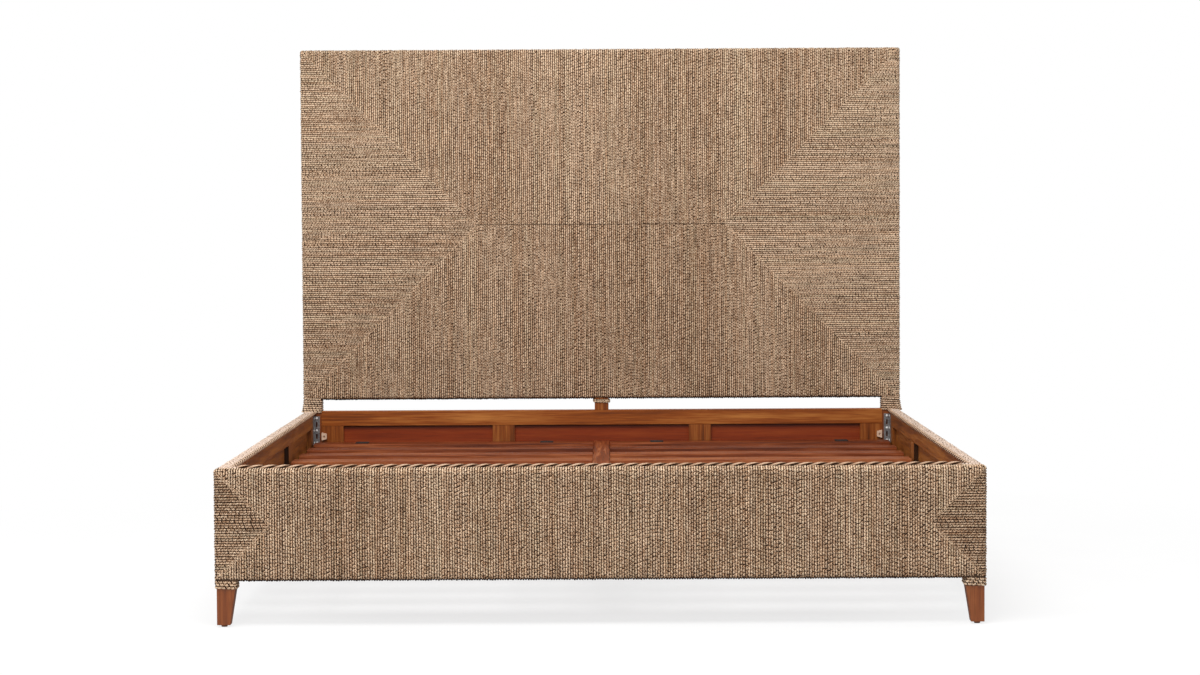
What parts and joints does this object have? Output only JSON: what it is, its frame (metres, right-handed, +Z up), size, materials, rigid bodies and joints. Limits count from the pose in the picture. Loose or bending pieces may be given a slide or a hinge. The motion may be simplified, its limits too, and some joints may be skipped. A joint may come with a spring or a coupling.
{
  "type": "bed",
  "caption": "King-size rope-wrapped bed: tall headboard and low rails covered in mitred rows of seagrass rope, on a hardwood frame with short tapered legs and split slats.",
  "frame": {"origin": "on the floor under the middle of the bed's bounding box", "axes": "+Z up, +Y from the foot towards the headboard, +X towards the right seen from the foot"},
  "size_m": [2.11, 2.185, 1.707],
  "materials": {
    "rope": "coarse matt",
    "trim_rope": "coarse matt",
    "webbing": "matt",
    "zinc": "satin",
    "nylon": "matt",
    "glide": "matt",
    "leveler": "matt",
    "slat_wood": "satin",
    "panel_wood": "satin",
    "post_wood": "satin",
    "frame_wood": "satin"
  },
  "bodies": {
    "frame": {"angle_screws": "zinc", "center_beam": "slat_wood", "center_post_winding": "rope", "corner_angles": "zinc", "foot_frame_bottom_rail": "frame_wood", "foot_frame_panels": "panel_wood", "foot_frame_stiles": "frame_wood", "foot_frame_top_rail": "frame_wood", "foot_post_left": "post_wood", "foot_post_right": "post_wood", "foot_trim": "trim_rope", "foot_weave_field": "rope", "foot_weave_left": "rope", "foot_weave_right": "rope", "glides": "glide", "head_frame_bottom_rail": "frame_wood", "head_frame_panels": "panel_wood", "head_frame_stiles": "frame_wood", "head_frame_top_rail": "frame_wood", "head_post_cover_left": "rope", "head_post_cover_right": "rope", "head_post_left": "post_wood", "head_post_right": "post_wood", "headboard_back_trim": "trim_rope", "headboard_bottom_rail": "frame_wood", "headboard_center_post": "post_wood", "headboard_middle_rail": "frame_wood", "headboard_panels": "panel_wood", "headboard_stiles": "frame_wood", "headboard_top_rail": "frame_wood", "headboard_weave_bottom": "rope", "headboard_weave_left": "rope", "headboard_weave_right": "rope", "headboard_weave_top": "rope", "ledger_foot": "frame_wood", "ledger_head": "frame_wood", "ledger_left": "frame_wood", "ledger_right": "frame_wood", "neck_windings": "rope", "nylon_blocks": "nylon", "post_collars": "rope", "side_frame_left_bottom_rail": "frame_wood", "side_frame_left_panels": "panel_wood", "side_frame_left_stiles": "frame_wood", "side_frame_left_top_rail": "frame_wood", "side_frame_right_bottom_rail": "frame_wood", "side_frame_right_panels": "panel_wood", "side_frame_right_stiles": "frame_wood", "side_frame_right_top_rail": "frame_wood", "side_trim_left": "trim_rope", "side_trim_right": "trim_rope", "side_weave_left": "rope", "side_weave_right": "rope", "support_legs": "frame_wood"},
    "slat_set_left": {"slats_left": "slat_wood", "straps_left": "webbing"},
    "slat_set_right": {"slats_right": "slat_wood", "straps_right": "webbing"},
    "leveling_foot_front": {"leveling_foot_front": "leveler"},
    "leveling_foot_rear": {"leveling_foot_rear": "leveler"}
  },
  "joints": [
    {"name": "slats_left_lift", "type": "slide", "parent": "frame", "child": "slat_set_left", "axis": [0, 0, 1], "range_m": [0, 0.2]},
    {"name": "slats_right_lift", "type": "slide", "parent": "frame", "child": "slat_set_right", "axis": [0, 0, 1], "range_m": [0, 0.2]},
    {"name": "leveling_foot_front_screw", "type": "slide", "parent": "frame", "child": "leveling_foot_front", "axis": [0, 0, 1], "range_m": [0, 0.015]},
    {"name": "leveling_foot_rear_screw", "type": "slide", "parent": "frame", "child": "leveling_foot_rear", "axis": [0, 0, 1], "range_m": [0, 0.015]}
  ]
}
